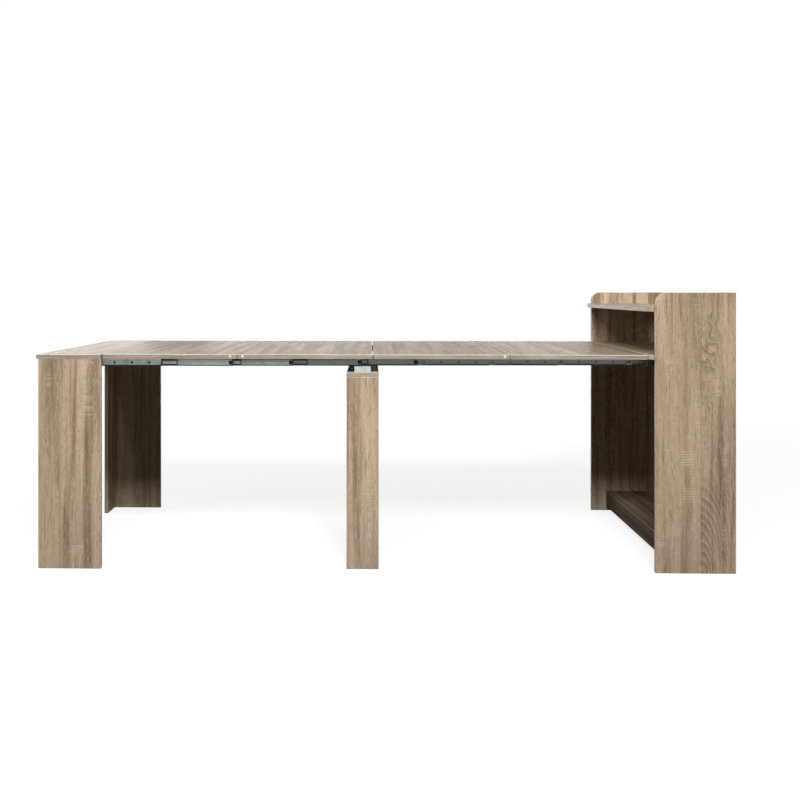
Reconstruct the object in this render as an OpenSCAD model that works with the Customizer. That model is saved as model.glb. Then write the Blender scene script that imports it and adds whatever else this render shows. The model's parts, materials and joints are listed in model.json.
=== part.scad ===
// An extending dining table, drawn open with its four leaves laid on.
// A sideboard cabinet stands at the +X end, an end frame at the -X end and a portal leg in the middle.
// Two telescopic ball runners of nine stages each, a to i, join them under the leaves.
// The origin is on the floor under the middle of the whole table. +Y runs to the far side.

/* [Tabletop] */
// Height of the tabletop above the floor
table_h = 760; // [730:1:800]
// Width of the whole table
table_w = 900; // [820:5:1000]
// Length of one leaf along the table
leaf_l = 480; // [450:5:510]
// Thickness of the leaves
leaf_t = 16; // [15:0.5:22]
// Gap between neighbouring boards of the tabletop
seam = 1.5; // [0.5:0.5:3]
// Wider gap at the middle of the tabletop
middle_seam = 4; // [1:0.5:6]
// Gap between the end of a leaf and the plane of the cabinet sides
leaf_clear = 2; // [1:0.5:4]

/* [Cabinet] */
// Height of the cabinet
cabinet_h = 980; // [960:5:1100]
// Depth of the cabinet
cabinet_d = 278; // [264:2:320]
// Thickness of the side panels
side_t = 16; // [15:0.5:20]
// Radius of the top front corner of a side panel
side_corner_r = 40; // [20:1:45]
// Thickness of the back panel
back_t = 16; // [12:0.5:20]
// How far the back panel is set in from the rear edges
back_inset = 8; // [2:1:12]
// Drop of the top shelf below the top of the sides
shelf_drop = 50; // [46:1:70]
// Thickness of the top shelf
shelf_t = 18; // [16:0.5:22]
// How far the top shelf stands out in front of the sides
shelf_nose = 20; // [12:1:30]
// How far the fixed board at table level stands out in front of the sides
board_nose = 20; // [12:1:30]
// Radius of the front corners of both noses
nose_corner_r = 12; // [6:1:12]
// Thickness of the bottom board
bottom_t = 16; // [15:0.5:20]
// Gap under the plinth board
plinth_lift = 18; // [10:1:30]
// Height of the plinth board
plinth_h = 70; // [50:1:90]
// Thickness of the plinth board
plinth_t = 16; // [15:0.5:20]
// How far the plinth is set back from the front edges
plinth_setback = 66; // [58:1:80]

/* [End frame] */
// Length of the end board along the table
end_l = 231; // [220:1:260]
// Overhang of the end board past the outer faces of the legs
end_overhang = 7; // [2:1:12]
// Overhang of the end board past the sides of the legs
end_side_overhang = 2; // [2:0.5:6]
// Thickness of the leg panels
leg_t = 16; // [15:0.5:18]
// How far the return of each leg reaches in from its face panel
return_w = 108; // [80:2:140]
// Height of the apron between the returns
apron_h = 80; // [50:5:110]

/* [Middle leg] */
// Width of a post along the table
post_w = 114; // [100:1:118]
// Thickness of the post panels
post_t = 16; // [15:0.5:18]
// Depth of the two cheeks behind the face of a post
cheek_d = 60; // [40:2:80]
// Gap between a post and the plane of the cabinet sides
post_clear = 4; // [2:0.5:8]
// Thickness of the board across the posts
bridge_t = 16; // [15:0.5:22]
// Length of a spacer block along the table
block_l = 58; // [40:1:80]
// Height of a spacer block
block_h = 22; // [16:1:30]

/* [Runners] */
// Height of a runner stage
runner_h = 26; // [24:0.5:32]
// Length of a travelling stage
stage_l = 440; // [420:2:446]
// Length of the stage that carries the middle leg
carrier_l = 394; // [360:2:400]
// How far the first stage reaches past the end board
first_reach = 214; // [200:1:224]
// Wall of a steel channel
steel_t = 1.2; // [1:0.05:1.4]
// Distance between one stage and the next, across the table
stage_pitch = 9; // [8.8:0.1:10.5]
// Diameter of a ball
ball_d = 3; // [2.8:0.05:3.4]
// Balls in one row of a cage
balls_per_row = 4; // [2:1:5]
// Distance between the balls of a row
ball_pitch = 18; // [8:1:20]
// Length of a ball cage
cage_l = 140; // [120:2:150]
// Distance between screw holes or dimples
hole_pitch = 62; // [50:1:70]
// Diameter of a screw hole or dimple
hole_d = 5; // [4.4:0.1:5.6]
// Distance from the end of a stage to its first hole or dimple
hole_start = 45; // [36:1:52]
// Length of a plastic end stop
stop_l = 11; // [8:0.5:14]
// Gap between a stop and the end of its stage
stop_gap = 3; // [2:0.5:8]
// Width of the batten that carries the last stage
batten_w = 20; // [18:1:40]

/* [Fixings] */
// Diameter of a dowel
dowel_d = 8; // [6:0.5:8]
// Length of a dowel
dowel_l = 28; // [24:1:34]
// Depth of a dowel in the panel that it stands on
dowel_seat = 10; // [8:0.5:12]
// Diameter of a runner screw
screw_d = 4; // [3:0.1:4.2]
// Length of a runner screw
screw_l = 13; // [10:0.5:14]

/* [Hidden] */
$fn = 48;
// Clearance all round a dowel or a screw in its hole
fit = 0.1;
// Clearance all round a ball
ball_fit = 0.05;
// Clearance between the runner stages
run_gap = 0.4;
// Gap between the first stage and the leg, and between the last stage and the back panel
end_gap = 8;
back_gap = 27;
// Free height over the middle of a spacer block
saddle_h = 1;
// Height and width of the lip of a ball race
lip = 1;
// Wall of a cage
cage_t = 0.8;
cage_web = 0.4;
cage_gap = 0.2;
// Distance from the end of a stage to the first ball that it holds
ball_inset = 14;
// How far each cage shows past the end of the stage that holds it
cage_shows = [56, 30, 52, 23, 14, 20, 20, 20];
// Shares of the open length by which stages b to i reach past the one before
step_share = [253, 213, 245, 200, 254, 247, 245, 306];

STAGES = 9;
CARRIER = 4;
leg_l = end_l - end_overhang;
span = 4 * leaf_l + 4 * seam + middle_seam;
total_l = end_l + span + board_nose + cabinet_d;
// Front of the cabinet and inner edge of the end board
front_x = total_l / 2 - cabinet_d;
end_x = front_x - board_nose - span;
// Inner face of the cabinet side and outer face of the first stage
side_y = table_w / 2 - side_t;
leg_y = table_w / 2 - end_side_overhang;
runner_y = leg_y - leg_t;
leaf_w = 2 * (side_y - leaf_clear);
top_z = table_h - leaf_t;
back_x = front_x + cabinet_d - back_inset - back_t;
runner_z = top_z - runner_h / 2;
leg_out_x = end_x - leg_l;

shelf_z = cabinet_h - shelf_drop - shelf_t;
plinth_top = plinth_lift + plinth_h;
plinth_x = front_x + plinth_setback;

// Runner layout along the table
last_right = back_x - back_gap;
first_right = end_x + first_reach;
first_l = first_reach + leg_l - leg_t - end_gap;
function sum_to(v, n) = n <= 0 ? 0 : v[n - 1] + sum_to(v, n - 1);
share_all = sum_to(step_share, STAGES - 1);
function stage_right(k) = first_right + (last_right - first_right) * sum_to(step_share, k) / share_all;
function stage_len(k) = k == 0 ? first_l : k == CARRIER ? carrier_l : stage_l;
function stage_left(k) = stage_right(k) - stage_len(k);
function cage_right(k) = stage_right(k) + cage_shows[k];
middle_x = stage_right(CARRIER) - carrier_l / 2;

// Runner layout across the table, each stage measured from the plane between its two webs
function stage_y(k) = runner_y - k * stage_pitch;
race_h = ball_d + 2 * ball_fit;
inner_h = runner_h - 2 * steel_t - 2 * race_h;
outer_w = stage_pitch - run_gap;
inner_w = stage_pitch - steel_t - cage_web - 3 * cage_gap;
race_mid = inner_h / 2 + race_h / 2;
ball_y = (stage_pitch - inner_w + outer_w) / 2;
cage_w = outer_w - lip;
batten_y = stage_y(STAGES - 1);

// Middle leg
post_y = side_y - post_clear;
bridge_z = top_z - runner_h - block_h - bridge_t;
carrier_y = stage_y(CARRIER);
block_w = post_y - carrier_y + 3 * stage_pitch;

OAK = [0.62, 0.53, 0.44];
BIRCH = [0.80, 0.68, 0.50];
STEEL = [0.62, 0.65, 0.66];
DARK = [0.08, 0.08, 0.08];
PALE = [0.86, 0.86, 0.84];

// Shapes that repeat

// A cuboid from its lowest corner and its size
module board(corner, size) {
    translate(corner) cube(size);
}

// The near side is at -Y: children are drawn on the far side and mirrored for the near one
module on_side(side) {
    mirror([0, side == "near" ? 1 : 0, 0]) children();
}

module both_sides() {
    children();
    mirror([0, 1, 0]) children();
}

// Places its children along +X from a section drawn with Y to the right and Z up
module along_x(from, length) {
    translate([from, 0, 0]) rotate([90, 0, 90]) linear_extrude(length) children();
}

// Cabinet

module side_outline() {
    difference() {
        square([cabinet_d, cabinet_h]);
        translate([0, cabinet_h - side_corner_r]) difference() {
            square([side_corner_r, side_corner_r]);
            translate([side_corner_r, 0]) circle(side_corner_r);
        }
    }
}

// Distances of the dowels along and up from the front bottom corner of a side panel
function cabinet_dowel_places() = [
    for (x = [0.2, 0.8]) [x * (back_x - front_x), top_z + leaf_t / 2],
    for (x = [0.2, 0.8]) [x * (back_x - front_x), shelf_z + shelf_t / 2],
    for (x = [0.2, 0.8])
        [plinth_setback + plinth_t + x * (back_x - plinth_x - plinth_t), plinth_top - bottom_t / 2],
    [plinth_setback + plinth_t / 2, plinth_lift + plinth_h / 3],
    for (z = [0.15, 0.5, 0.85]) [back_x - front_x + back_t / 2, z * cabinet_h]
];

// Dowels that stand across each joint of the cabinet, or with extra > 0 the holes for them
module cabinet_dowel_set(extra) {
    both_sides()
        for (p = cabinet_dowel_places())
            translate([front_x + p[0], side_y + dowel_seat + extra, p[1]])
                rotate([90, 0, 0])
                    cylinder(d = dowel_d + 2 * extra, h = dowel_l + 2 * extra);
}

module side_panel(side) {
    color(OAK) difference() {
        on_side(side)
            translate([front_x, side_y + side_t, 0]) rotate([90, 0, 0]) linear_extrude(side_t) side_outline();
        cabinet_dowel_set(fit);
    }
}

module back_panel() {
    color(OAK) difference() {
        board([back_x, -side_y, 0], [back_t, 2 * side_y, cabinet_h]);
        cabinet_dowel_set(fit);
    }
}

// A board between the sides with a nose in front of them, seen from above, rounded at its front corners
module nosed_outline(nose) {
    r = nose_corner_r;
    difference() {
        translate([-nose, -side_y]) square([back_x - front_x + nose, 2 * side_y]);
        for (s = [-1, 1])
            translate([r - nose, s * (side_y - r)]) difference() {
                translate([-r, s > 0 ? 0 : -r]) square([r, r]);
                circle(r);
            }
    }
}

module fixed_board() {
    color(OAK) difference() {
        translate([front_x, 0, top_z]) linear_extrude(leaf_t) nosed_outline(board_nose);
        cabinet_dowel_set(fit);
    }
}

module top_shelf() {
    color(OAK) difference() {
        translate([front_x, 0, shelf_z]) linear_extrude(shelf_t) nosed_outline(shelf_nose);
        cabinet_dowel_set(fit);
    }
}

module plinth_board() {
    color(OAK) difference() {
        board([plinth_x, -side_y, plinth_lift], [plinth_t, 2 * side_y, plinth_h]);
        cabinet_dowel_set(fit);
    }
}

module bottom_board() {
    x = plinth_x + plinth_t;
    color(OAK) difference() {
        board([x, -side_y, plinth_top - bottom_t], [back_x - x, 2 * side_y, bottom_t]);
        cabinet_dowel_set(fit);
    }
}

module batten(side) {
    color(BIRCH) difference() {
        on_side(side)
            board([front_x, batten_y - batten_w, top_z - runner_h], [back_x - front_x, batten_w, runner_h]);
        batten_screw_set(fit);
    }
}

module cabinet_dowels() {
    color(BIRCH) cabinet_dowel_set(0);
}

// Runner screws, with a countersunk head as deep as the channel wall

module runner_screw(extra) {
    head_d = screw_d + 2 * steel_t;
    cylinder(d1 = head_d + 2 * extra, d2 = screw_d + 2 * extra, h = steel_t);
    cylinder(d = screw_d + 2 * extra, h = screw_l + 2 * extra);
}

function stage_holes(k) = [
    for (x = [hole_start : hole_pitch : stage_len(k) - 2 * hole_d]) stage_right(k) - x
];

module batten_screw_set(extra) {
    both_sides()
        for (x = stage_holes(STAGES - 1))
            if (x > front_x + screw_d * 2)
                translate([x, batten_y + steel_t, runner_z]) rotate([90, 0, 0]) runner_screw(extra);
}

module end_frame_screw_set(extra) {
    both_sides()
        for (x = stage_holes(0))
            if (x < end_x - screw_d * 2)
                translate([x, runner_y - steel_t, runner_z]) rotate([-90, 0, 0]) runner_screw(extra);
}

module batten_screws() {
    color(STEEL) batten_screw_set(0);
}

module end_frame_screws() {
    color(STEEL) end_frame_screw_set(0);
}

// End frame

// Distances of the dowels that stand between the end board and what carries it
function end_dowel_places() = [
    for (x = [0.2, 0.8]) [end_x - x * (leg_l - leg_t), leg_y - leg_t / 2],
    [leg_out_x + leg_t / 2, runner_y - return_w / 2],
    [leg_out_x + leg_t / 2, (runner_y - return_w) / 2]
];

module end_dowel_set(extra) {
    both_sides()
        for (p = end_dowel_places())
            translate([p[0], p[1], top_z + dowel_seat - dowel_l - extra])
                cylinder(d = dowel_d + 2 * extra, h = dowel_l + 2 * extra);
}

module end_board() {
    color(OAK) difference() {
        board([end_x - end_l, -table_w / 2, top_z], [end_l, table_w, leaf_t]);
        end_dowel_set(fit);
    }
}

module leg_face(side) {
    color(OAK) difference() {
        on_side(side) board([leg_out_x, runner_y, 0], [leg_l, leg_t, top_z]);
        end_dowel_set(fit);
        end_frame_screw_set(fit);
    }
}

module leg_return(side) {
    color(OAK) difference() {
        on_side(side) board([leg_out_x, runner_y - return_w, 0], [leg_t, return_w, top_z]);
        end_dowel_set(fit);
    }
}

module end_apron() {
    w = 2 * (runner_y - return_w);
    color(OAK) difference() {
        board([leg_out_x, -w / 2, top_z - apron_h], [leg_t, w, apron_h]);
        end_dowel_set(fit);
    }
}

module end_frame_dowels() {
    color(BIRCH) end_dowel_set(0);
}

// Middle leg

function bridge_dowel_places() = [
    for (x = [-0.3, 0.3]) [middle_x + x * post_w, post_y - post_t / 2],
    for (s = [-1, 1]) [middle_x + s * (post_w - post_t) / 2, post_y - post_t - cheek_d / 2]
];

module bridge_dowel_set(extra) {
    both_sides()
        for (p = bridge_dowel_places())
            translate([p[0], p[1], bridge_z + dowel_seat - dowel_l - extra])
                cylinder(d = dowel_d + 2 * extra, h = dowel_l + 2 * extra);
}

module bridge_board() {
    color(OAK) difference() {
        board([middle_x - post_w / 2, -post_y, bridge_z], [post_w, 2 * post_y, bridge_t]);
        bridge_dowel_set(fit);
    }
}

module post_face(side) {
    color(OAK) difference() {
        on_side(side) board([middle_x - post_w / 2, post_y - post_t, 0], [post_w, post_t, bridge_z]);
        bridge_dowel_set(fit);
    }
}

module post_cheeks(side) {
    color(OAK) difference() {
        on_side(side)
            for (x = [-post_w / 2, post_w / 2 - post_t])
                board([middle_x + x, post_y - post_t - cheek_d, 0], [post_t, cheek_d, bridge_z]);
        bridge_dowel_set(fit);
    }
}

// Each block holds the carrier stage on a raised saddle and stays clear of the other stages
module spacer_blocks() {
    z = bridge_z + bridge_t;
    color(PALE) both_sides() {
        board([middle_x - block_l / 2, post_y - block_w, z], [block_l, block_w, block_h - saddle_h]);
        board([middle_x - block_l / 2, carrier_y - outer_w, z], [block_l, outer_w, block_h]);
    }
}

module middle_leg_dowels() {
    color(BIRCH) bridge_dowel_set(0);
}

// Runners

// A channel section, rounded at its web, with the web at x = 0 and its mouth towards +x
module channel(h, w, r) {
    difference() {
        channel_fill(h, w, r);
        translate([steel_t, 0]) channel_fill(h - 2 * steel_t, w, r - steel_t / 2);
    }
}

module channel_fill(h, w, r) {
    translate([r, -h / 2]) square([w - r, h]);
    translate([0, r - h / 2]) square([w, h - 2 * r]);
    for (s = [-1, 1])
        translate([r, s * (h / 2 - r)]) circle(r);
}

// The outer channel holds the next stage, with its lips turned in
module outer_section() {
    channel(runner_h, outer_w, 2);
    for (s = [-1, 1])
        translate([outer_w - lip, s * (runner_h / 2 - steel_t - lip / 2) - lip / 2]) square([lip, lip]);
}

// The inner channel runs in the stage before, with its lips turned out
module inner_section() {
    mirror([1, 0]) {
        channel(inner_h, inner_w, 1.5);
        for (s = [-1, 1])
            translate([inner_w - lip, s * (inner_h / 2 + lip / 2) - lip / 2]) square([lip, lip]);
    }
}

module stage_section(k) {
    if (k < STAGES - 1) outer_section();
    if (k > 0) inner_section();
}

// The mounted stages have screw holes. Between them, dimples pressed into the outer web join each pair of channels
module stage_hole_set(k) {
    through = k == 0 || k == STAGES - 1 ? 2 * steel_t : 0;
    both_sides()
        for (x = stage_holes(k))
            translate([x, stage_y(k) - through, runner_z])
                rotate([-90, 0, 0]) cylinder(d = hole_d, h = through + 2 * steel_t);
}

// The section is drawn with its mouth towards +x, which is turned towards the middle of the table
module runner_stage(k, side) {
    color(STEEL) difference() {
        on_side(side)
            along_x(stage_left(k), stage_len(k))
                translate([stage_y(k), runner_z]) mirror([1, 0]) stage_section(k);
        stage_hole_set(k);
        if (k == 0) end_frame_screw_set(fit);
        if (k == STAGES - 1) batten_screw_set(fit);
    }
}

// A rounded plastic stop against the web at the right-hand end of a stage
module stage_stops(k) {
    h = inner_h - 2 * steel_t - 2 * cage_gap;
    thick = inner_w - 2 * steel_t;
    r = stop_l / 2;
    color(DARK) both_sides()
        translate([stage_right(k) - stop_gap - r, stage_y(k) + steel_t + thick, runner_z])
            rotate([90, 0, 0]) linear_extrude(thick) {
                square([stop_l, h - 2 * r], center = true);
                for (s = [-1, 1])
                    translate([0, s * (h / 2 - r)]) circle(r);
            }
}

// Ball cages

module cage_section() {
    top = race_mid + cage_t / 2;
    translate([0, -top]) square([cage_web, 2 * top]);
    for (s = [-1, 1])
        translate([0, s * race_mid - cage_t / 2]) square([cage_w - steel_t - cage_gap, cage_t]);
}

// The balls lie where a stage and the next one overlap
module ball_places(k) {
    for (i = [0 : balls_per_row - 1])
        for (s = [-1, 1])
            translate([
                stage_right(k) - ball_inset - i * ball_pitch,
                stage_y(k) - ball_y,
                runner_z + s * race_mid
            ])
                children();
}

// A cage is a thin channel with two windows and a row of balls in each flange
module ball_cages(k) {
    window_l = cage_l / 2 - 2 * ball_d;
    window_h = inner_h - 2 * ball_d;
    color(STEEL) both_sides() {
        difference() {
            along_x(cage_right(k) - cage_l, cage_l)
                translate([stage_y(k) - steel_t - cage_gap, runner_z]) mirror([1, 0]) cage_section();
            ball_places(k) cylinder(d = ball_d + 4 * ball_fit, h = 2 * cage_t, center = true);
            for (x = [0.25, 0.75])
                translate([cage_right(k) - x * cage_l, stage_y(k) - steel_t, runner_z])
                    cube([window_l, 3 * steel_t, window_h], center = true);
        }
        ball_places(k) sphere(d = ball_d);
    }
}

// Leaves

function leaf_x(i) = end_x + seam + i * (leaf_l + seam) + (i < 2 ? 0 : middle_seam - seam);

module leaf(i) {
    color(OAK) board([leaf_x(i), -leaf_w / 2, top_z], [leaf_l, leaf_w, leaf_t]);
}

side_panel("near");  // near_side_panel
side_panel("far");  // far_side_panel
back_panel();
fixed_board();
top_shelf();
bottom_board();
plinth_board();
batten("near");  // near_batten
batten("far");  // far_batten
cabinet_dowels();
batten_screws();
runner_stage(8, "near");  // near_runner_i
runner_stage(8, "far");  // far_runner_i
end_board();
leg_face("near");  // near_leg_face
leg_face("far");  // far_leg_face
leg_return("near");  // near_leg_return
leg_return("far");  // far_leg_return
end_apron();
end_frame_dowels();
end_frame_screws();
runner_stage(0, "near");  // near_runner_a
runner_stage(0, "far");  // far_runner_a
bridge_board();
post_face("near");  // near_post_face
post_face("far");  // far_post_face
post_cheeks("near");  // near_post_cheeks
post_cheeks("far");  // far_post_cheeks
spacer_blocks();
middle_leg_dowels();
runner_stage(4, "near");  // near_runner_e
runner_stage(4, "far");  // far_runner_e
stage_stops(4);  // stops_e
runner_stage(1, "near");  // near_runner_b
runner_stage(1, "far");  // far_runner_b
stage_stops(1);  // stops_b
runner_stage(2, "near");  // near_runner_c
runner_stage(2, "far");  // far_runner_c
stage_stops(2);  // stops_c
runner_stage(3, "near");  // near_runner_d
runner_stage(3, "far");  // far_runner_d
stage_stops(3);  // stops_d
runner_stage(5, "near");  // near_runner_f
runner_stage(5, "far");  // far_runner_f
runner_stage(6, "near");  // near_runner_g
runner_stage(6, "far");  // far_runner_g
runner_stage(7, "near");  // near_runner_h
runner_stage(7, "far");  // far_runner_h
ball_cages(0);  // ball_cages_1
ball_cages(1);  // ball_cages_2
ball_cages(2);  // ball_cages_3
ball_cages(3);  // ball_cages_4
ball_cages(4);  // ball_cages_5
ball_cages(5);  // ball_cages_6
ball_cages(6);  // ball_cages_7
ball_cages(7);  // ball_cages_8
leaf(0);  // leaf_1
leaf(1);  // leaf_2
leaf(2);  // leaf_3
leaf(3);  // leaf_4
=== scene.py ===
"""Extending dining table: finishes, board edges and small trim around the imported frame."""
from collections import namedtuple
import json
import math

import bmesh
import bpy
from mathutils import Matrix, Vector

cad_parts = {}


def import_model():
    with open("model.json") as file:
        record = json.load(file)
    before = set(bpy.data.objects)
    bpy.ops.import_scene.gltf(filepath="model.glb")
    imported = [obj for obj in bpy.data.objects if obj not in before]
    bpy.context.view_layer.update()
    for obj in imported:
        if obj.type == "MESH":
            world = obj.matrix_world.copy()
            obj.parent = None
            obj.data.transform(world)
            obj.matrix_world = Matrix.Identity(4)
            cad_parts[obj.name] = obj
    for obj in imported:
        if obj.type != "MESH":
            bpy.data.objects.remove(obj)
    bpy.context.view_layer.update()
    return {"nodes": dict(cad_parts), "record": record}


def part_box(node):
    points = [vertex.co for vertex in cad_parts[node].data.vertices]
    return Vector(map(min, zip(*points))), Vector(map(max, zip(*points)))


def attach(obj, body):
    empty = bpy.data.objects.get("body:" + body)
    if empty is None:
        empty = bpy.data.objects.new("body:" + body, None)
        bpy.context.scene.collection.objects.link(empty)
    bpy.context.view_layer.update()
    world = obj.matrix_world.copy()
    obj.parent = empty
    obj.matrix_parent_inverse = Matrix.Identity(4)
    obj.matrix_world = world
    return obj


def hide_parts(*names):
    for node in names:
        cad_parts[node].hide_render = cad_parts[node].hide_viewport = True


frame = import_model()
BODY_OF = {node: body for body, nodes in frame["record"]["behaviour"]["bodies"].items() for node in nodes}

X, Y, Z = 0, 1, 2

# Camera, fitted to the photograph, in metres and pixels of an 800 pixel frame
FRAME_PX = 800
SENSOR_MM = 36.0
FOCAL_PX = 871.4
VANISH_PX = (348.7, 292.5)
CAMERA_AT = (-0.0426, -3.514, 0.9796)
CAMERA_YAW_DEG = 1.43
CLIP_END = 60.0

# The boards' trim, in metres. A leaf's underside stays clear of the runners
ARRIS = 0.0014
LEAF_CLEAR = 0.0001
CHEEK_T = 0.016
SIDE_CORNER_R = 0.040
SIDE_CORNER_STEPS = 18
NOSE_CORNER_R = 0.012
NOSE_CORNER_STEPS = 10
SHARP_DEG = 40
# How much of a polygon's normal has to lie along the board's thin axis for a face, and for an arris
FACE_LEAN = 0.95
ARRIS_LEAN = 0.15

# The white plugs in the leaves' near edges, in metres. The dome is given as shares of the radius, each with
# how far it stands proud. A place is counted from the leaf's left end, or from its right end if negative
PLUG_R = 0.0046
PLUG_PROUD = 0.0006
PLUG_DEPTH = 0.004
PLUG_BELOW_TOP = 0.0075
PLUG_SIDES = 24
PLUG_DOME = [(0.55, PLUG_PROUD * 0.9), (0.86, PLUG_PROUD * 0.45), (1.0, -PLUG_PROUD), (1.0, -PLUG_DEPTH)]
PLUG_PLACES = {"leaf_1": -0.024, "leaf_2": 0.019, "leaf_3": -0.018}

# Which way the grain runs on each board
GRAIN_UP = ["near_side_panel", "far_side_panel", "back_panel", "near_leg_face", "far_leg_face",
            "near_leg_return", "far_leg_return", "near_post_face", "far_post_face"]
GRAIN_ACROSS = ["fixed_board", "top_shelf", "bottom_board", "plinth_board", "end_board", "end_apron",
                "bridge_board", "leaf_1", "leaf_2", "leaf_3", "leaf_4"]
CHEEKS = ["near_post_cheeks", "far_post_cheeks"]
# The low boards' faces, edge bands and arrises are printed dark as painted shade inside the cabinet
LOW_BOARDS = ["plinth_board", "bottom_board"]

# The decor's inputs, and the boards with values of their own. Places are object coordinates in metres
FIGURE_INPUTS = ("Seed", "Seam", "Lean", "Arch", "KnotU", "KnotV", "SawU", "SawV")
FIGURES = {
    "near_side_panel": {"Seam": 0.702, "Lean": 0.004, "Arch": 1.0, "KnotU": 0.722, "KnotV": 0.785,
                        "SawU": 0.659, "SawV": 0.400},
    "near_leg_face": {"Arch": 0.22},
    "near_post_face": {"Arch": 0.0, "Seed": 12.9},
    "far_leg_face": {"Arch": 0.3},
}
PLAIN_ARCH = 0.55
OFF_THE_BOARD = 9.0
FIRST_SEED = 1.7
SEED_STEP = 3.31

# How much lighter or darker each board's print is than the plain decor, as red, green and blue. These are
# painted light and shade: painted shade darkens the plinth and bottom board inside the cabinet, and the
# leaves, end board and near side panel against the light on them; painted light makes the far side panel
# and back panel paler
PLAIN_TONE = (1.0, 1.0, 1.0)
LIGHT_AND_SHADE_TONES = {
    "leaf_1": (0.70, 0.72, 0.75),
    "leaf_2": (0.61, 0.63, 0.66),
    "leaf_3": (0.51, 0.49, 0.49),
    "leaf_4": (0.65, 0.66, 0.68),
    "end_board": (0.82, 0.84, 0.87),
    "near_side_panel": (0.90, 0.90, 0.90),
    "far_side_panel": (1.16, 1.20, 1.27),
    "back_panel": (1.16, 1.20, 1.27),
    "near_post_face": (0.97, 0.98, 1.01),
    "plinth_board": (0.42, 0.42, 0.42),
    "bottom_board": (0.48, 0.48, 0.48),
}
# Specular levels of the boards' faces, by the way of the grain and for single boards, and their roughness
UP_SHEEN = 0.12
ACROSS_SHEEN = 0.10
SHEENS = {"end_board": 0.15, "leaf_1": 0.15, "leaf_2": 0.08, "leaf_3": 0.06, "leaf_4": 0.08,
          "plinth_board": 0.0, "bottom_board": 0.0}
BOARD_ROUGHNESS = 0.5
TOP_ROUGHNESS = 0.44

# Runner stages from the end frame to the cabinet: the zinc's tone from 0 to 255, which is painted light and
# shade on one zinc, and how dark the painted shade in the dimples and at the cut end is
STAGES = {
    "a": (128, 1.0, 1.0),
    "b": (150, 0.32, 1.0),
    "c": (138, 0.26, 1.0),
    "d": (124, 0.14, 1.0),
    "e": (122, 0.14, 1.0),
    "f": (122, 0.95, 0.12),
    "g": (122, 0.80, 0.12),
    "h": (122, 0.95, 0.50),
    "i": (108, 0.80, 1.0),
}
STOPPED = "bcde"
# The first cages are near-black as painted shade in the recess they run in; the others are zinc
SHADED_CAGES = 4
# Painted shade on a stage, in metres: the row of dimples, the screw holes of stage a, the cut right-hand
# end, and the heights from the middle between which the rolled lower edge gets painted shade
DIMPLE_START = 0.045
DIMPLE_PITCH = 0.062
DIMPLE_R = 0.0026
SCREW_HOLE_R = 0.0042
MARK_BLUR = 0.0008
CUT_END = 0.0030
ROLLED_EDGE = (-0.0076, -0.0092)
StageShade = namedtuple("StageShade", "end middle radius dimples cut_end")


def srgb(red, green, blue):
    """A linear colour with alpha from the 0 to 255 values of a screen colour."""
    def linear(value):
        value /= 255.0
        return value / 12.92 if value <= 0.04045 else ((value + 0.055) / 1.055) ** 2.4
    return (linear(red), linear(green), linear(blue), 1.0)


def grey(level):
    return (level, level, level, 1.0)


def darker(colour, share):
    """The colour with this share of its light left."""
    return tuple(part * share for part in colour[:3]) + (1.0,)


WHITE = grey(1.0)


# Node trees

class Field:
    """A number that varies over a surface. Arithmetic with it adds math nodes to its tree."""

    def __init__(self, tree, socket):
        self.tree = tree
        self.socket = socket

    def __add__(self, other):
        return self.tree.math("ADD", self, other)

    def __radd__(self, other):
        return self.tree.math("ADD", other, self)

    def __sub__(self, other):
        return self.tree.math("SUBTRACT", self, other)

    def __rsub__(self, other):
        return self.tree.math("SUBTRACT", other, self)

    def __mul__(self, other):
        return self.tree.math("MULTIPLY", self, other)

    def __truediv__(self, other):
        return self.tree.math("DIVIDE", self, other)

    def __mod__(self, other):
        return self.tree.math("MODULO", self, other)

    def __abs__(self):
        return self.tree.math("ABSOLUTE", self)

    def __gt__(self, other):
        return self.tree.math("GREATER_THAN", self, other)


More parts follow.
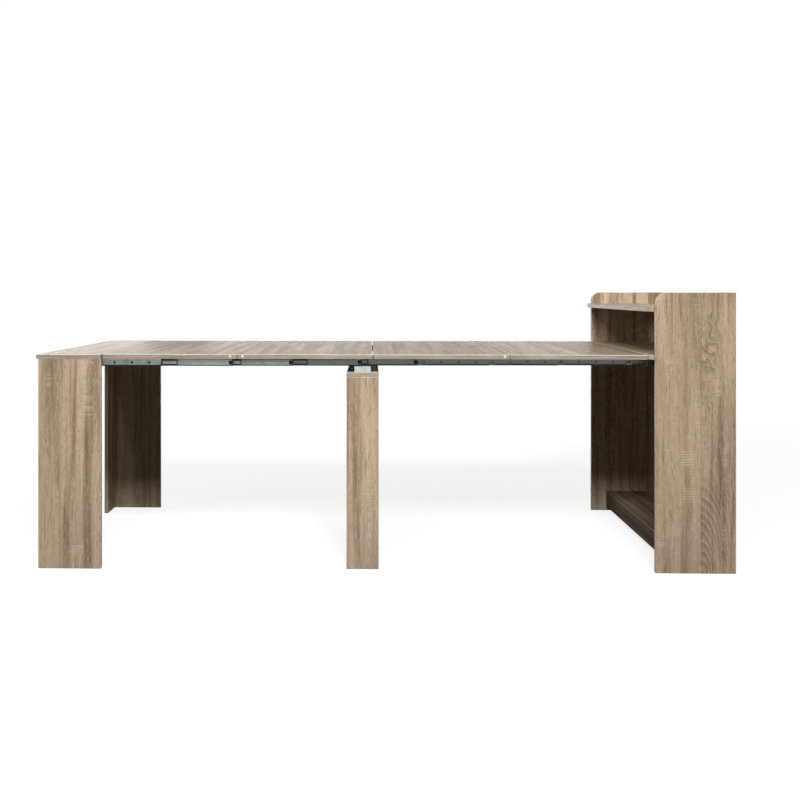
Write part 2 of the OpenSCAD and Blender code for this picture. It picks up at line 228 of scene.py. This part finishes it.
class Tree:
    """A node tree with short calls that add a node and link its inputs."""

    def __init__(self, tree):
        self.tree = tree

    def put(self, socket, value):
        """Links a field or an output to an input socket, or writes a constant there."""
        if isinstance(value, Field):
            value = value.socket
        if isinstance(value, bpy.types.NodeSocket):
            self.tree.links.new(value, socket)
        else:
            socket.default_value = value

    def node(self, kind, inputs=None, **settings):
        made = self.tree.nodes.new("ShaderNode" + kind)
        for name, value in settings.items():
            setattr(made, name, value)
        for name, value in (inputs or {}).items():
            self.put(made.inputs[name], value)
        return made

    def field(self, socket):
        return Field(self, socket)

    def math(self, operation, a, b=0.0):
        return self.field(self.node("Math", {0: a, 1: b}, operation=operation).outputs[0])

    def length(self, a, b):
        return self.math("SQRT", self.math("POWER", a, 2.0) + self.math("POWER", b, 2.0))

    def largest(self, a, b):
        return self.math("MAXIMUM", a, b)

    def zigzag(self, value, half):
        """Goes from 0 to half and back as value grows."""
        return self.math("PINGPONG", value, half)

    def vector(self, x, y, z):
        return self.node("CombineXYZ", {0: x, 1: y, 2: z}).outputs[0]

    def noise(self, vector, detail=2.0, roughness=0.5, distortion=0.0):
        inputs = {"Vector": vector, "Scale": 1.0, "Detail": detail, "Roughness": roughness,
                  "Distortion": distortion}
        return self.field(self.node("TexNoise", inputs).outputs["Fac"])

    def ramp(self, value, low, high, to_low=0.0, to_high=1.0):
        """value mapped smoothly from low..high to to_low..to_high, and held at the ends."""
        inputs = {"Value": value, "From Min": low, "From Max": high, "To Min": to_low, "To Max": to_high}
        made = self.node("MapRange", inputs, clamp=True, interpolation_type="SMOOTHSTEP")
        return self.field(made.outputs["Result"])

    def mix(self, share, a, b, blend="MIX"):
        made = self.node("Mix", {"Factor": share}, data_type="RGBA", blend_type=blend)
        colours = [socket for socket in made.inputs if socket.type == "RGBA"]
        for socket, value in zip(colours, (a, b)):
            self.put(socket, value)
        return next(socket for socket in made.outputs if socket.type == "RGBA")

    def axes(self):
        """The three object coordinates, in metres, which go with the piece when it moves."""
        parts = self.node("SeparateXYZ", {0: self.node("TexCoord").outputs["Object"]}).outputs
        return [self.field(part) for part in parts]

    def close(self, kind, shader):
        """Adds the output node of a Material or a World, and links the shader to it."""
        self.put(self.node("Output" + kind).inputs["Surface"], shader.outputs[0])


def new_material(name):
    material = bpy.data.materials.new(name)
    material.use_nodes = True
    material.node_tree.nodes.clear()
    return material, Tree(material.node_tree)


def finish_material(t, colour, height, strength, distance=0.0002, **surface):
    """Closes a material with one Principled surface. Uniform values go straight on its sockets."""
    shader = t.node("BsdfPrincipled", {"Base Color": colour})
    for name, value in surface.items():
        t.put(shader.inputs[name.replace("_", " ")], value)
    bump = t.node("Bump", {"Height": height, "Strength": strength, "Distance": distance})
    t.put(shader.inputs["Normal"], bump.outputs[0])
    t.close("Material", shader)


def waves(t, axes, rate, *settings, along=None, along_rate=None):
    """Noise with rate waves in a metre, but along_rate of them in the direction of the axis along."""
    at = [axes[i] * (along_rate if i == along else rate) for i in (X, Y, Z)]
    return t.noise(t.vector(*at), *settings)


# The oak decor

OAK_LIGHT = srgb(203, 180, 151)
OAK_MID = srgb(176, 151, 125)
OAK_GREY = srgb(136, 117, 96)
OAK_DARK = srgb(98, 81, 65)
OAK_LIME = srgb(226, 208, 182)

# A printed plank's width in metres, and how far chance moves its figures along the grain and in the noise
PLANK_W = 0.154
PLANK_SHIFT = 7.0
PLANK_DEPTH = 9.0
# How much of its thickness a board adds to the decor's U, so that its edges get grain too
THROUGH_SHARE = 0.9

# How far the grain wanders, and curls round a knot, in metres. A knot has an outer and an inner radius
SWAY = 0.03
CURL = 0.20
KNOT_R = (0.075, 0.012)
KNOT_CORE_R = (0.009, 0.004)
KNOT_SQUASH = 0.42

# Arches: the metres from one to the next along the grain, where they start, how steeply they rise, their
# rings in a metre and how much these wobble. In planks before the seam they are faint
ARCH_EVERY = 0.95
ARCH_SHIFT = 50.42
ARCH_TOP = 0.02
ARCH_SLOPE = 0.16
ARCH_RINGS = 125.0
ARCH_WOBBLE = 4.2
FAINT_ARCHES = 0.12
# Where Arch is above TALL_ARCH, the arches turn wide and calm, and then full, from each first height down to
# the second
TALL_ARCH = 0.9
TALL_WIDE = (0.48, 0.38)
TALL_FULL = (0.38, 0.24)
WIDE_SLOPE = 0.09
WIDE_RINGS_LESS = 20.0
WIDE_WOBBLE_LESS = 3.5
WIDE_BEND = 5.0

# The placed patch of saw marks and the fainter one below it, in metres
SAW_HALF_W = 0.026
SAW_HALF_H = 0.034
SECOND_SAW_HALF_H = 0.030
SECOND_SAW_BELOW = 0.125
SAW_HALF_PITCH = 0.0046
RUNG_HALF_PITCH = 0.0030


class OakDecor:
    """The printed rough-sawn oak decor. U runs across the grain and V along it, both in metres. Seam is
    where one printed plank ends, Lean is where an arch stands in its plank, Arch says how strong the arches
    are, KnotU and KnotV place a knot, and SawU and SawV a patch of saw marks with a fainter one below it."""

    def __init__(self, t, given):
        self.t = t
        self.given = given
        self.u = given["U"]
        self.v = given["V"]
        self.seed = given["Seed"]
        self.lay_planks()
        self.bend_grain()
        self.draw_streaks()
        self.draw_arches()
        self.draw_saw_marks()
        self.draw_ladders()

    def patches(self, per_m_u, per_m_v, detail, v=None, depth=None):
        """Noise with so many patches in a metre across and along the grain. It changes from plank to plank,
        unless v and depth are given."""
        v = self.along if v is None else v
        depth = self.depth if depth is None else depth
        return self.t.noise(self.t.vector(self.u * per_m_u, v * per_m_v, depth), detail)

    def streaks(self, width, length, detail=3.0, roughness=0.55, offset=0.0):
        """Noise in streaks of so many metres by so many, which follow the grain."""
        at = self.t.vector(self.across / width, self.along / length, self.depth + offset)
        return self.t.noise(at, detail, roughness)

    def lay_planks(self):
        """The printed planks, each with its own chance values."""
        t = self.t
        place = (self.u - self.given["Seam"]) / PLANK_W
        self.plank = t.math("FLOOR", place)
        self.within = t.math("FRACT", place) * PLANK_W
        chance = t.node("TexWhiteNoise", {"W": self.plank + self.seed}, noise_dimensions="1D")
        parts = t.node("SeparateColor", {"Color": chance.outputs["Color"]}).outputs
        self.chance = t.field(parts[0])
        self.along = self.v + self.chance * PLANK_SHIFT
        self.depth = self.seed + t.field(parts[1]) * PLANK_DEPTH

    def bend_grain(self):
        """The grain wanders a little, and swings round a knot."""
        t = self.t
        sway = (self.patches(5.0, 1.5, 1.0) - 0.5) * SWAY
        off_u = self.u - self.given["KnotU"]
        off_v = (self.v - self.given["KnotV"]) * KNOT_SQUASH
        self.knot = t.length(off_u, off_v)
        self.swirl = t.ramp(self.knot, *KNOT_R) * t.ramp(off_u, -0.032, -0.022)
        self.curl = (self.patches(15.0, 9.0, 2.0, v=self.v) - 0.5) * CURL * self.swirl
        self.across = self.u + sway + self.curl

    def draw_streaks(self):
        self.broad = self.streaks(0.030, 0.80)
        self.middle = self.streaks(0.0085, 0.26, 4.0, 0.6, 1.3)
        self.fine = self.streaks(0.0024, 0.030, 3.0, 0.62, 2.7)
        self.fleck = self.streaks(0.0034, 0.016, 1.0, 0.5, 4.1)

    def draw_arches(self):
        """Flame figures: long nested arches, cut off by the edge of their plank."""
        t = self.t
        tall = self.given["Arch"] > TALL_ARCH
        wide = tall * t.ramp(self.v, *TALL_WIDE)
        side = self.within + self.curl - self.given["Lean"]
        reach = (self.v + ARCH_SHIFT) % ARCH_EVERY - ARCH_TOP
        reach = reach * (ARCH_SLOPE + wide * WIDE_SLOPE)
        rings = t.length(side, reach) * (ARCH_RINGS - wide * WIDE_RINGS_LESS)
        wobble = self.patches(16.0, 5.0, 3.0) * (ARCH_WOBBLE - wide * WIDE_WOBBLE_LESS)
        bend = self.patches(9.0, 4.0, 1.0, v=self.v, depth=self.seed) * wide * WIDE_BEND
        self.ring = t.math("FRACT", rings + (wobble + bend))

        share = FAINT_ARCHES + (self.plank > -0.5) * (1.0 - FAINT_ARCHES)
        fade = t.ramp(self.patches(4.0, 2.6, 1.0), 0.36, 0.56) * (1.0 - tall * 0.6)
        fade = t.largest(fade, tall * t.ramp(self.v, *TALL_FULL, 0.0, 1.15))
        fade = fade * (1.0 - wide * t.ramp(self.within, 0.02, 0.09, 0.0, 0.5))
        self.arch = t.largest(self.given["Arch"] * share * fade, self.swirl * 1.2)

    def draw_saw_marks(self):
        """Saw marks across the grain: patches of them by chance, and the two that are placed."""
        t = self.t
        lines = self.patches(10.0, 290.0, 0.0, v=self.v, depth=self.seed)
        patch = t.noise(t.vector(self.across / 0.030, self.along / 0.13, self.depth), 0.0)
        by_chance = t.ramp(lines, 0.46, 0.60) * t.ramp(patch, 0.64, 0.72)
        beside = abs(self.across - self.given["SawU"]) - SAW_HALF_W
        first = abs(self.v - self.given["SawV"]) - SAW_HALF_H
        second = abs(self.v + SECOND_SAW_BELOW - self.given["SawV"]) - SECOND_SAW_HALF_H
        placed = t.largest(t.ramp(first, 0.006, -0.016), t.ramp(second, 0.006, -0.018, 0.0, 0.6))
        placed = t.ramp(beside, 0.004, -0.014) * placed
        notch = t.zigzag(self.v + self.middle * 0.006, SAW_HALF_PITCH)
        placed = placed * t.ramp(notch, 0.0012, 0.0036, 0.0, 1.9)
        self.saw_marks = t.largest(by_chance, placed)

    def draw_ladders(self):
        """Ladders of short pale marks in narrow stripes."""
        t = self.t
        rung = t.zigzag(self.v + self.broad * 0.004, RUNG_HALF_PITCH)
        stripe = t.noise(t.vector(self.across / 0.012, self.along / 0.14, self.seed), 0.0)
        self.rungs = t.ramp(rung, 0.0017, 0.0027) * t.ramp(stripe, 0.68, 0.74)

    def colour(self):
        """Layers of paint, each with how much of it there is."""
        t = self.t
        layers = [
            (t.ramp(self.middle, 0.40, 0.60, 0.0, 0.45), OAK_MID),
            (t.ramp(self.middle, 0.44, 0.28, 0.0, 0.58), OAK_DARK),
            (t.ramp(self.ring, 0.05, 0.90) * (self.arch * 0.46), OAK_DARK),
            (t.ramp(self.ring, 0.90, 0.98) * (self.arch * 0.50), OAK_LIME),
            (t.ramp(self.fine, 0.56, 0.72, 0.0, 0.42), OAK_LIME),
            (t.ramp(self.fine, 0.46, 0.28, 0.0, 0.62), OAK_DARK),
            (t.ramp(self.fleck, 0.62, 0.74, 0.0, 0.38), OAK_LIME),
            (self.saw_marks * 0.30, OAK_LIME),
            (self.rungs * 0.40, OAK_LIME),
            (t.ramp(self.knot, *KNOT_CORE_R, 0.0, 0.35), OAK_DARK),
            (t.ramp(self.within, 0.0026, 0.0010) * t.ramp(self.fleck, 0.35, 0.55, 0.15, 0.50), OAK_DARK),
        ]
        colour = t.mix(t.ramp(self.broad, 0.34, 0.64), OAK_GREY, OAK_LIGHT)
        for share, paint in layers:
            colour = t.mix(share, colour, paint)
        level = 0.91 + self.chance * 0.17
        tint = t.node("CombineColor", {0: level, 1: level, 2: level}).outputs[0]
        return t.mix(1.0, colour, tint, "MULTIPLY")

    def height(self):
        return self.fine * 0.7 + self.saw_marks * -0.4


def oak_group():
    """The decor as a node group, which all boards share."""
    group = bpy.data.node_groups.new("oak_decor", "ShaderNodeTree")
    for name in ("U", "V", *FIGURE_INPUTS):
        group.interface.new_socket(name, in_out="INPUT", socket_type="NodeSocketFloat")
    group.interface.new_socket("Color", in_out="OUTPUT", socket_type="NodeSocketColor")
    group.interface.new_socket("Height", in_out="OUTPUT", socket_type="NodeSocketFloat")
    t = Tree(group)
    given = group.nodes.new("NodeGroupInput").outputs
    decor = OakDecor(t, {name: t.field(given[name]) for name in ("U", "V", *FIGURE_INPUTS)})
    made = group.nodes.new("NodeGroupOutput")
    t.put(made.inputs["Color"], decor.colour())
    t.put(made.inputs["Height"], decor.height())
    return group


# Materials

def laminate(name, group, across, along, through, figure, tone, roughness, specular):
    """Oak decor on a board whose thin axis is through. figure sets the decor's inputs."""
    material, t = new_material(name)
    axes = t.axes()
    decor = t.node("Group", node_tree=group)
    t.put(decor.inputs["U"], axes[across] + axes[through] * THROUGH_SHARE)
    t.put(decor.inputs["V"], axes[along])
    for socket, value in figure.items():
        decor.inputs[socket].default_value = value
    # tone multiplies the decor; the board tones it gets are painted light and shade
    colour = t.mix(1.0, decor.outputs["Color"], (*tone, 1.0), "MULTIPLY")
    finish_material(t, colour, decor.outputs["Height"], 0.35, 0.0006, Roughness=roughness,
                    Specular_IOR_Level=specular)
    return material


def edge_band(name, along, colour_a, colour_b):
    """A plain band along a board's edge, with fine lines that follow it."""
    material, t = new_material(name)
    axes = t.axes()
    lines = waves(t, axes, 260.0, 3.0, 0.6, along=along, along_rate=7.0)
    blotches = waves(t, axes, 14.0, along=along, along_rate=5.0)
    colour = t.mix(t.ramp(lines, 0.34, 0.66), colour_a, colour_b)
    colour = t.mix(t.ramp(blotches, 0.45, 0.65, 0.0, 0.35), colour, colour_a)
    finish_material(t, colour, lines, 0.2, 0.0003, Roughness=0.55, Specular_IOR_Level=0.12)
    return material


def arris_highlight(name, colour_a, colour_b):
    """A painted highlight on the arris where a board's face meets its edge band."""
    material, t = new_material(name)
    arris_noise = waves(t, t.axes(), 90.0, 3.0, 0.6)
    colour = t.mix(t.ramp(arris_noise, 0.35, 0.65), colour_a, colour_b)
    finish_material(t, colour, arris_noise, 0.15, 0.0003, Roughness=0.5, Specular_IOR_Level=0.2)
    return material


def stage_painted_shade(t, axes, marks):
    """1 where a runner stage gets painted shade: its row of dimples, its cut end and its rolled lower edge.
    """
    height = axes[Z] - marks.middle
    # Dimples are counted from 99 pitches further right, because the modulo of a negative value is negative
    origin = marks.end - DIMPLE_START + DIMPLE_PITCH / 2 + 99 * DIMPLE_PITCH
    beside = (origin - axes[X]) % DIMPLE_PITCH - DIMPLE_PITCH / 2
    away = t.length(beside, height)
    dimple = t.ramp(away, marks.radius + MARK_BLUR, marks.radius, 0.0, marks.dimples)
    cut = (axes[X] > marks.end - CUT_END) * marks.cut_end
    return t.largest(t.largest(dimple, cut), t.ramp(height, *ROLLED_EDGE))


def brushed_metal(name, colour, roughness, along=X, marks=None):
    """Rolled zinc-plated steel, with faint lines along it, a blotchy plating and, on a runner stage, painted
    shade in its dimples, at its cut end and along its rolled lower edge.
    """
    material, t = new_material(name)
    axes = t.axes()
    lines = waves(t, axes, 900.0, 3.0, 0.6, along=along, along_rate=12.0)
    cloud = waves(t, axes, 38.0, 3.0, 0.6)
    tone = t.mix(t.ramp(lines * 0.6 + cloud * 0.4, 0.34, 0.64), darker(colour, 0.65), colour)
    # Painted shade on a runner stage: near-black in the dimples and screw holes, at the cut end and along
    # the rolled lower edge
    if marks:
        tone = t.mix(stage_painted_shade(t, axes, marks) * 0.93, tone, srgb(12, 13, 12))
    rough = t.ramp(cloud, 0.3, 0.7, roughness - 0.06, roughness + 0.08)
    finish_material(t, tone, lines, 0.12, Roughness=rough, Metallic=0.85)
    return material


def plastic(name, colour, roughness, specular=0.5):
    """Moulded plastic with a fine spark-eroded grain and slight mottling."""
    material, t = new_material(name)
    axes = t.axes()
    grains = waves(t, axes, 1500.0)
    mottle = waves(t, axes, 60.0, 3.0)
    tone = t.mix(t.ramp(mottle, 0.35, 0.65), darker(colour, 0.86), colour)
    finish_material(t, tone, grains, 0.15, Roughness=roughness, Specular_IOR_Level=specular)
    return material


def raw_timber(name, along):
    """Bare birch for battens and dowels."""
    material, t = new_material(name)
    grain = waves(t, t.axes(), 170.0, 4.0, 0.6, 0.6, along=along, along_rate=9.0)
    tone = t.mix(t.ramp(grain, 0.35, 0.65), srgb(190, 156, 112), srgb(224, 198, 158))
    finish_material(t, tone, grain, 0.25, 0.0004, Roughness=0.7)
    return material


# Board pieces, with their material slots

FACE_SLOT, EDGE_SLOT, ARRIS_SLOT = 0, 1, 2


def rounded_rectangle(low, high, radii=(0, 0, 0, 0), steps=NOSE_CORNER_STEPS):
    """Points round a rectangle from its low and high corners. radii are for the corners
    (low, low), (high, low), (high, high) and (low, high), in that order."""
    corners = [(low[0], low[1]), (high[0], low[1]), (high[0], high[1]), (low[0], high[1])]
    inward = [(1, 1), (-1, 1), (-1, -1), (1, -1)]
    points = []
    for i, ((cx, cy), (sx, sy), r) in enumerate(zip(corners, inward, radii)):
        if r == 0:
            points.append((cx, cy))
            continue
        for k in range(steps + 1):
            angle = math.radians(180 + 90 * i + 90 * k / steps)
            points.append((cx + sx * r + r * math.cos(angle), cy + sy * r + r * math.sin(angle)))
    return points


def mesh_from(bm, name):
    mesh = bpy.data.meshes.new(name)
    bm.to_mesh(mesh)
    bm.free()
    return mesh


def slot_of(flat):
    """The slot of a polygon whose normal has flat of its length along the board's thin axis."""
    if flat > FACE_LEAN:
        return FACE_SLOT
    return ARRIS_SLOT if flat > ARRIS_LEAN else EDGE_SLOT


def board_mesh(name, outline, plane, through, low, high):
    """A board with softened arrises: outline lies in the plane's two axes and is thick along through."""
    bm = bmesh.new()
    ring = []
    for a, b in outline:
        at = [0.0, 0.0, 0.0]
        at[plane[0]], at[plane[1]], at[through] = a, b, low
        ring.append(bm.verts.new(at))
    face = bm.faces.new(ring)
    swept = bmesh.ops.extrude_face_region(bm, geom=[face])
    lift = Vector((0.0, 0.0, 0.0))
    lift[through] = high - low
    lifted = [item for item in swept["geom"] if isinstance(item, bmesh.types.BMVert)]
    bmesh.ops.translate(bm, vec=lift, verts=lifted)
    bmesh.ops.recalc_face_normals(bm, faces=bm.faces)
    sharp = [edge for edge in bm.edges if edge.calc_face_angle(0.0) > math.radians(SHARP_DEG)]
    bmesh.ops.bevel(bm, geom=sharp, offset=ARRIS, segments=2, profile=0.5, affect="EDGES")
    for polygon in bm.faces:
        polygon.normal_update()
        polygon.material_index = slot_of(abs(polygon.normal[through]))
    return mesh_from(bm, name)


def add_piece(name, mesh, body, materials):
    piece = bpy.data.objects.new(name, mesh)
    bpy.context.scene.collection.objects.link(piece)
    for material in materials:
        mesh.materials.append(material)
    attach(piece, body)
    return piece


def thin_axis(low, high):
    sizes = [high[i] - low[i] for i in (X, Y, Z)]
    return sizes.index(min(sizes))


def board_outline(node, plane, low, high):
    """The node's outline in its plane, with the corners that the real board has rounded."""
    a, b = plane
    corners = (low[a], low[b]), (high[a], high[b])
    if node in ("near_side_panel", "far_side_panel"):
        return rounded_rectangle(*corners, (0, 0, 0, SIDE_CORNER_R), SIDE_CORNER_STEPS)
    if node in ("fixed_board", "top_shelf"):
        return rounded_rectangle(*corners, (NOSE_CORNER_R, 0, 0, NOSE_CORNER_R))
    return rounded_rectangle(*corners)


def dress_board(node, along, group, figure, slot, edges, arris, roughness, specular):
    low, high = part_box(node)
    through = thin_axis(low, high)
    plane = [axis for axis in (X, Y, Z) if axis != through]
    across = next(axis for axis in plane if axis != along)
    under = low[through] + (LEAF_CLEAR if slot == "oak_leaf" else 0.0)
    mesh = board_mesh(node + "_board", board_outline(node, plane, low, high), plane, through,
                      under, high[through])
    # On a lying board the arrises that follow the grain look like the edge band
    if through == Z:
        for polygon in mesh.polygons:
            if polygon.material_index == ARRIS_SLOT and abs(polygon.normal[across]) > ARRIS_LEAN:
                polygon.material_index = EDGE_SLOT
    # The board's tone is painted light and shade on the boards that have one of their own
    tone = LIGHT_AND_SHADE_TONES.get(node, PLAIN_TONE)
    face = laminate(node + "_decor", group, across, along, through, figure, tone, roughness, specular)
    piece = add_piece(node + "_board", mesh, BODY_OF[node], [face, edges, arris])
    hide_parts(node)


def dress_cheeks(node, group, figure, edges, arris):
    """The two cheeks behind a post's face, as one piece of two boards."""
    low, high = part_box(node)
    outline = rounded_rectangle((low.y, low.z), (high.y, high.z))
    bm = bmesh.new()
    for left, right in ((low.x, low.x + CHEEK_T), (high.x - CHEEK_T, high.x)):
        part = board_mesh(node + "_part", outline, [Y, Z], X, left, right)
        bm.from_mesh(part)
        bpy.data.meshes.remove(part)
    mesh = mesh_from(bm, node + "_boards")
    face = laminate(node + "_decor", group, Y, Z, X, figure, PLAIN_TONE, BOARD_ROUGHNESS, UP_SHEEN)
    piece = add_piece(node + "_boards", mesh, BODY_OF[node], [face, edges, arris])
    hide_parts(node)


def plug(name, leaf, x, material):
    """A small white plug in the near edge of a leaf, with a domed face."""
    low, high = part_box(leaf)
    middle = high.z - PLUG_BELOW_TOP
    bm = bmesh.new()
    rows = []
    for share, out in PLUG_DOME:
        row = []
        for i in range(PLUG_SIDES):
            angle = 2 * math.pi * i / PLUG_SIDES
            radius = share * PLUG_R
            at = (x + radius * math.cos(angle), low.y - out, middle + radius * math.sin(angle))
            row.append(bm.verts.new(at))
        rows.append(row)
    tip = bm.verts.new((x, low.y - PLUG_PROUD, middle))
    for i in range(PLUG_SIDES):
        after = (i + 1) % PLUG_SIDES
        bm.faces.new((tip, rows[0][i], rows[0][after]))
        for inner, outer in zip(rows, rows[1:]):
            bm.faces.new((inner[i], outer[i], outer[after], inner[after]))
    bm.faces.new(rows[-1])
    bmesh.ops.recalc_face_normals(bm, faces=bm.faces)
    add_piece(name, mesh_from(bm, name), BODY_OF[leaf], [material])


def set_material(node, material):
    slots = frame["nodes"][node].data.materials
    slots.clear()
    slots.append(material)


def figure_of(node, seed):
    """The decor inputs of a board. Where its planks meet and its arches stand comes from its seed."""
    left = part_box(node)[0].x
    figure = dict.fromkeys(FIGURE_INPUTS, OFF_THE_BOARD)
    figure.update(Seed=seed, Seam=left + 0.06 + (seed * 0.37) % 0.09, Lean=0.055 + (seed * 0.53) % 0.05,
                  Arch=PLAIN_ARCH)
    figure.update(FIGURES.get(node, {}))
    return figure


def dress_table():
    group = oak_group()
    edge_up = edge_band("edge_band_up", Z, srgb(164, 147, 126), srgb(196, 180, 158))
    edge_across = edge_band("edge_band_across", Y, srgb(158, 140, 124), srgb(190, 173, 156))
    edge_leaf = edge_band("edge_band_leaf", X, srgb(152, 132, 117), srgb(186, 167, 150))
    # Dark edge band of the low boards: painted shade inside the cabinet
    edge_low_shaded = edge_band("edge_band_low_shaded", Y, srgb(92, 80, 68), srgb(116, 102, 86))
    # Arris colours are painted highlights, lighter than their edge bands; the low boards' arris is also
    # darkened as painted shade
    arris_low = arris_highlight("low_arris_highlight_in_shade", srgb(118, 104, 88), srgb(146, 130, 112))
    arris_plain = arris_highlight("arris_highlight", srgb(184, 166, 142), srgb(222, 210, 192))
    arris_leaf = arris_highlight("leaf_arris_highlight", srgb(220, 208, 194), srgb(246, 242, 234))
    seed = FIRST_SEED
    for node in GRAIN_UP:
        dress_board(node, Z, group, figure_of(node, seed), "oak_panel", edge_up, arris_plain,
                    BOARD_ROUGHNESS, UP_SHEEN)
        seed += SEED_STEP
    for node in GRAIN_ACROSS:
        slot = "oak_leaf" if node.startswith("leaf") else "oak_panel"
        edges, arris, roughness = edge_across, arris_plain, BOARD_ROUGHNESS
        if slot == "oak_leaf" or node == "end_board":
            edges, arris, roughness = edge_leaf, arris_leaf, TOP_ROUGHNESS
        elif node in LOW_BOARDS:
            edges, arris = edge_low_shaded, arris_low
        dress_board(node, Y, group, figure_of(node, seed), slot, edges, arris, roughness,
                    SHEENS.get(node, ACROSS_SHEEN))
        seed += SEED_STEP
    for node in CHEEKS:
        dress_cheeks(node, group, figure_of(node, seed), edge_up, arris_plain)
        seed += SEED_STEP


def dress_runners():
    # The near-black colour of the first cages is painted shade
    shaded_cage = plastic("shaded_cage", srgb(30, 31, 31), 0.5, specular=0.15)
    plated_cage = brushed_metal("plated_cage", srgb(119, 124, 118), 0.44)
    screw = brushed_metal("screw_zinc", srgb(168, 168, 164), 0.35, Y)
    black = plastic("black_stop", srgb(14, 14, 15), 0.5, specular=0.12)
    for stage, (tone, dimples, cut_end) in STAGES.items():
        low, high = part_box(f"near_runner_{stage}")
        radius = SCREW_HOLE_R if stage == "a" else DIMPLE_R
        marks = StageShade(high.x, (low.z + high.z) / 2, radius, dimples, cut_end)
        # The stage's zinc tone is painted light and shade on one zinc, and its marks are painted shade
        zinc = brushed_metal(f"zinc_{stage}", srgb(tone - 3, tone + 2, tone - 4), 0.44, marks=marks)
        for side in ("near", "far"):
            set_material(f"{side}_runner_{stage}", zinc)
    for stage in STOPPED:
        set_material(f"stops_{stage}", black)
    for i in range(1, len(STAGES)):
        set_material(f"ball_cages_{i}", shaded_cage if i <= SHADED_CAGES else plated_cage)
    for node in ("batten_screws", "end_frame_screws"):
        set_material(node, screw)


def dress_small_parts():
    pale = plastic("pale_block", srgb(204, 207, 203), 0.5)
    white = plastic("white_plug", srgb(240, 240, 238), 0.4)
    for node in ("near_batten", "far_batten"):
        set_material(node, raw_timber(node + "_birch", X))
    set_material("cabinet_dowels", raw_timber("cabinet_dowel_birch", Y))
    for node in ("end_frame_dowels", "middle_leg_dowels"):
        set_material(node, raw_timber(node + "_birch", Z))
    set_material("spacer_blocks", pale)
    for leaf, place in PLUG_PLACES.items():
        low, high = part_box(leaf)
        plug("plug_" + leaf, leaf, place + (low.x if place > 0 else high.x), white)


# Studio

# The floor's half side and where it turns white, in metres. The camera sees it grey with a glow, and the
# table's undersides get the dim light that it throws back
FLOOR_HALF = 14.0
SHADOW_R = (2.4, 4.6)
FLOOR_GREY = 0.30
FLOOR_GLOW = 0.80
FLOOR_BOUNCE = 0.06
AMBIENT = 0.035

# Soft boxes: place, aim, size in metres, and power in watts
LAMPS = {
    "key": ((0.4, -3.8, 3.55), (0.0, 0.0, 0.5), (1.6, 0.9), 200.0),
    "fill": ((-1.3, -4.0, 3.7), (-0.6, 0.0, 0.5), (1.4, 0.8), 66.0),
    "left": ((-4.3, -0.2, 2.6), (0.9, 0.0, 0.9), (2.0, 1.2), 50.0),
    "back": ((0.2, 4.4, 0.66), (0.0, 0.0, 0.4), (3.4, 0.9), 85.0),
    "right": ((4.8, 0.6, 2.4), (0.9, 0.0, 0.5), (2.2, 2.0), 30.0),
    "glare": ((-2.5, 3.8, 1.1), (-1.1, 0.0, 0.76), (1.1, 0.5), 11.0),
}


def add_holder(name, data):
    holder = bpy.data.objects.new(name, data)
    bpy.context.scene.collection.objects.link(holder)
    return holder


def background_ray(t):
    """1 where the background shows as white: to the camera, in reflections and through clear things."""
    path = t.node("LightPath").outputs
    shown = t.largest(path["Is Camera Ray"], path["Is Glossy Ray"])
    return t.largest(shown, path["Is Transmission Ray"])


def floor():
    """A pale floor that shows white to the camera and keeps a soft shadow near the table."""
    mesh = bpy.data.meshes.new("floor")
    h = FLOOR_HALF
    mesh.from_pydata([(-h, -h, 0), (h, -h, 0), (h, h, 0), (-h, h, 0)], [], [(0, 1, 2, 3)])
    plane = add_holder("floor", mesh)
    material, t = new_material("pale_floor")
    axes = t.axes()
    far = t.ramp(t.length(axes[X], axes[Y]), *SHADOW_R)
    plain = t.node("BsdfDiffuse", {"Color": grey(FLOOR_GREY)})
    glow = t.node("Emission", {"Color": WHITE, "Strength": FLOOR_GLOW})
    white = t.node("Emission", {"Color": WHITE, "Strength": 1.0})
    dim = t.node("BsdfDiffuse", {"Color": grey(FLOOR_BOUNCE)})
    near = t.node("AddShader", {0: plain.outputs[0], 1: glow.outputs[0]})
    seen = t.node("MixShader", {0: far, 1: near.outputs[0], 2: white.outputs[0]})
    whole = t.node("MixShader", {0: background_ray(t), 1: dim.outputs[0], 2: seen.outputs[0]})
    t.close("Material", whole)
    mesh.materials.append(material)


def world():
    """White to the camera and in reflections, and a low even light on the object."""
    made = bpy.data.worlds.new("studio")
    made.use_nodes = True
    made.node_tree.nodes.clear()
    bpy.context.scene.world = made
    t = Tree(made.node_tree)
    soft = t.node("Background", {"Color": WHITE, "Strength": AMBIENT})
    white = t.node("Background", {"Color": WHITE, "Strength": 1.0})
    whole = t.node("MixShader", {0: background_ray(t), 1: soft.outputs[0], 2: white.outputs[0]})
    t.close("World", whole)


def lights():
    for name, (at, aim, size, power) in LAMPS.items():
        lamp = bpy.data.lights.new(name, "AREA")
        lamp.shape = "RECTANGLE"
        lamp.size, lamp.size_y = size
        lamp.energy = power
        holder = add_holder(name, lamp)
        holder.location = at
        holder.rotation_euler = (Vector(aim) - Vector(at)).to_track_quat("-Z", "Y").to_euler()


def camera():
    lens = bpy.data.cameras.new("camera")
    lens.sensor_width = SENSOR_MM
    lens.lens = FOCAL_PX / FRAME_PX * SENSOR_MM
    lens.shift_x = (FRAME_PX / 2 - VANISH_PX[0]) / FRAME_PX
    lens.shift_y = (VANISH_PX[1] - FRAME_PX / 2) / FRAME_PX
    lens.clip_end = CLIP_END
    holder = add_holder("camera", lens)
    holder.location = CAMERA_AT
    holder.rotation_euler = (math.radians(90), 0.0, math.radians(CAMERA_YAW_DEG))
    bpy.context.scene.camera = holder


camera()
dress_table()
dress_runners()
dress_small_parts()
floor()
world()
lights()
bpy.context.scene.view_settings.view_transform = "Standard"
